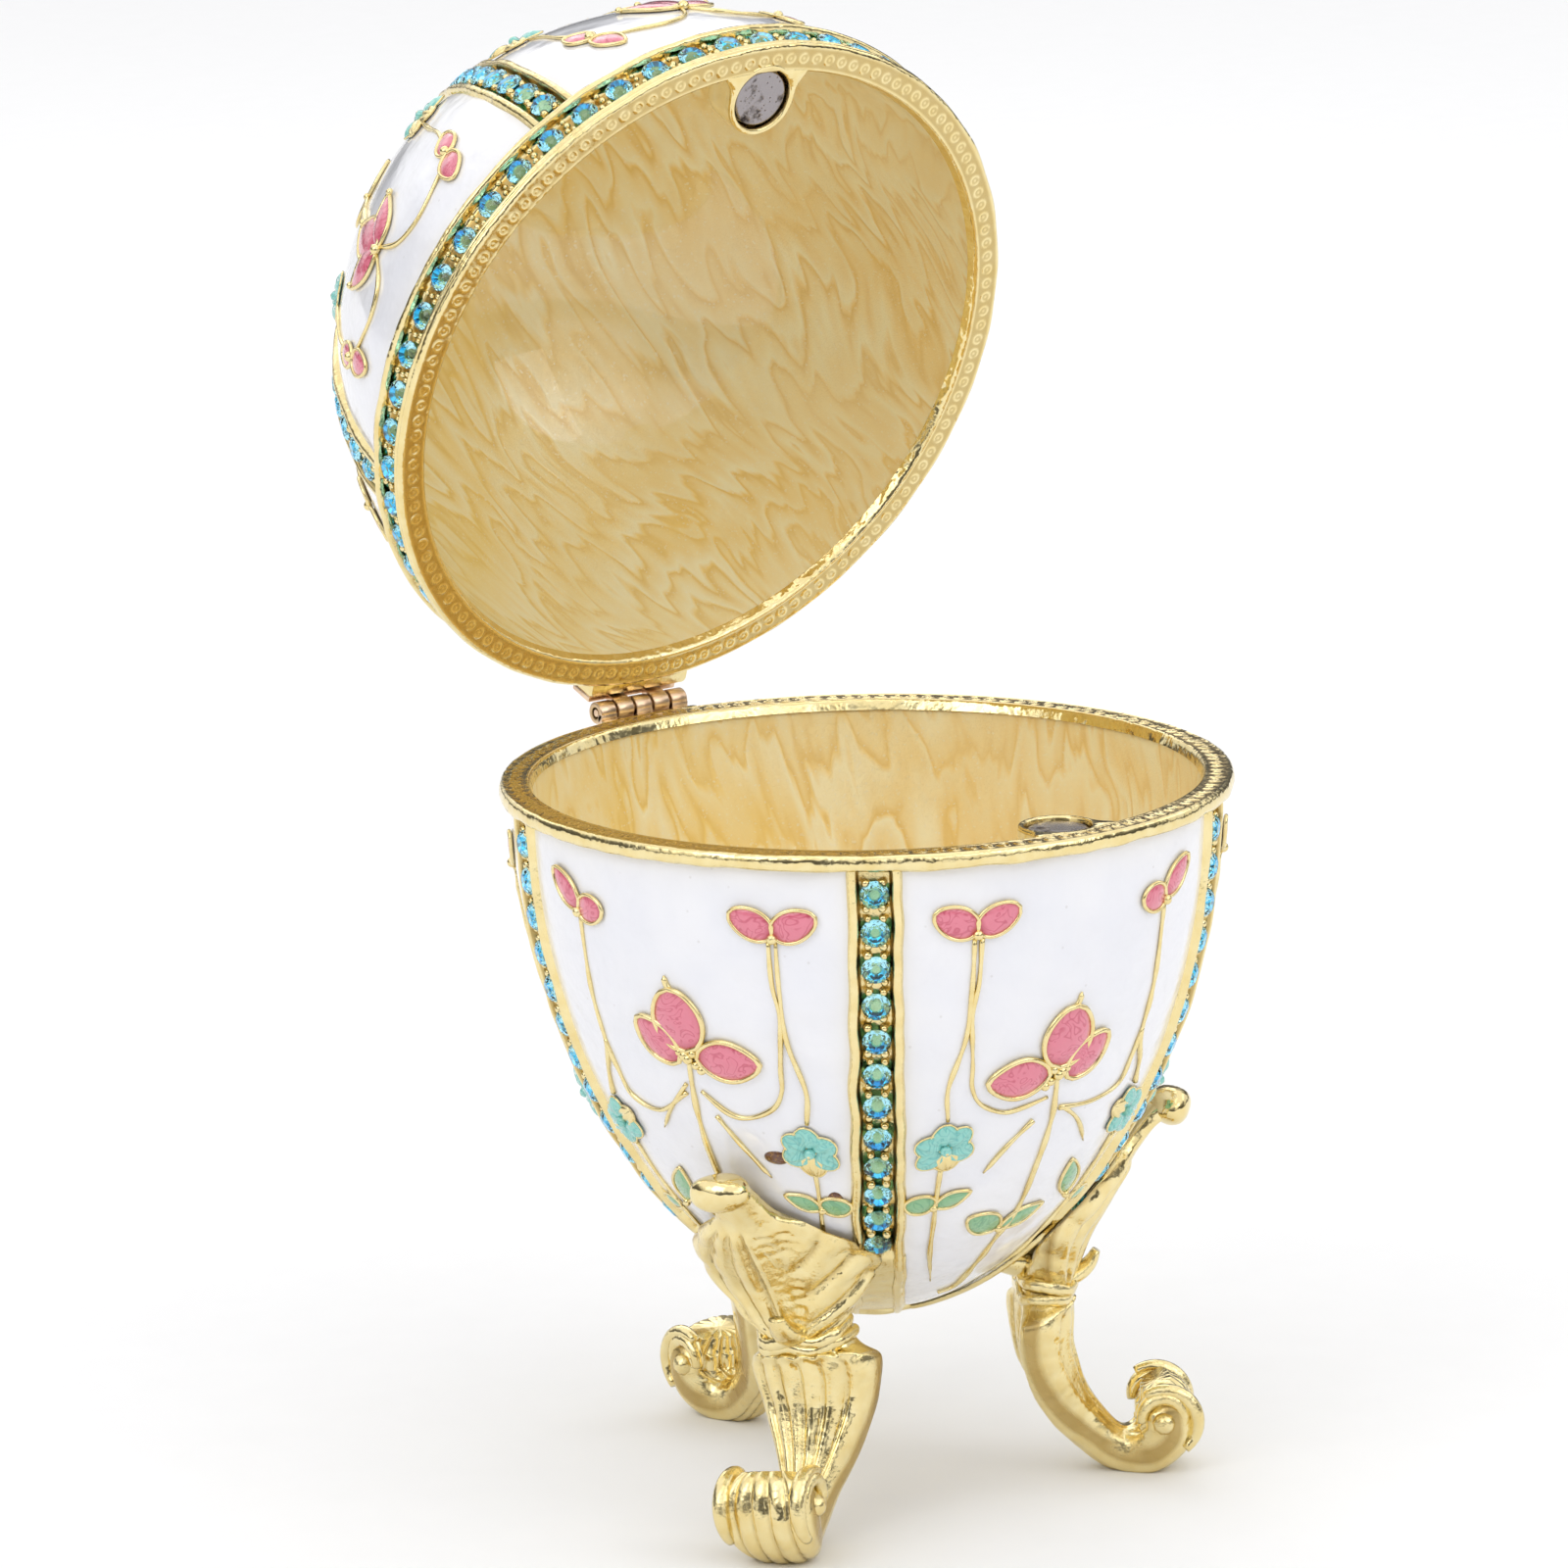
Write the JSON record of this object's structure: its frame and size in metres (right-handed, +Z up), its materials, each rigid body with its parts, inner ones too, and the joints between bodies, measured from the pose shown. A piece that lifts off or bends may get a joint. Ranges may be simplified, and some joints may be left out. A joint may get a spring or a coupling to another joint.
{
  "type": "hinged egg trinket box",
  "caption": "Enamelled egg-shaped trinket box on gilt scroll legs, ribs of blue crystals, wirework flowers, domed lid open on a back hinge.",
  "frame": {"origin": "on the ground, midway along the open box's overall width and length", "axes": "+Z up; the lid opens towards +Y, so -Y is the front, and the hinge axis lies along +X"},
  "size_m": [0.0602, 0.085, 0.1207],
  "materials": {
    "gold_plate": "polished",
    "white_enamel": "glossy",
    "pearl_enamel": "glossy",
    "rose_enamel": "glossy",
    "turquoise_enamel": "glossy",
    "leaf_enamel": "glossy",
    "aqua_crystal": "polished",
    "magnet_nickel": "satin",
    "hinge_brass": "satin"
  },
  "bodies": {
    "base": {"base_shell": "white_enamel", "leg_front_left": "gold_plate", "leg_front_right": "gold_plate", "leg_back": "gold_plate", "hinge_leaf_base": "hinge_brass", "hinge_pin": "hinge_brass", "magnet_base": "magnet_nickel", "base_rib_stones_1": "aqua_crystal", "base_rib_stones_2": "aqua_crystal", "base_rib_stones_3": "aqua_crystal", "base_rib_stones_4": "aqua_crystal", "base_rib_stones_5": "aqua_crystal"},
    "lid": {"lid_shell": "white_enamel", "magnet_lid": "magnet_nickel", "lid_rim_stones": "aqua_crystal", "hinge_leaf_lid": "hinge_brass", "lid_rib_stones_1": "aqua_crystal", "lid_rib_stones_2": "aqua_crystal", "lid_rib_stones_3": "aqua_crystal", "lid_rib_stones_4": "aqua_crystal", "lid_rib_stones_5": "aqua_crystal"}
  },
  "joints": [
    {"name": "lid_hinge", "type": "hinge", "parent": "base", "child": "lid", "pos_m": [0, 0.01959, 0.0606], "axis": [1, 0, 0], "range_deg": [0, 69.7]}
  ]
}
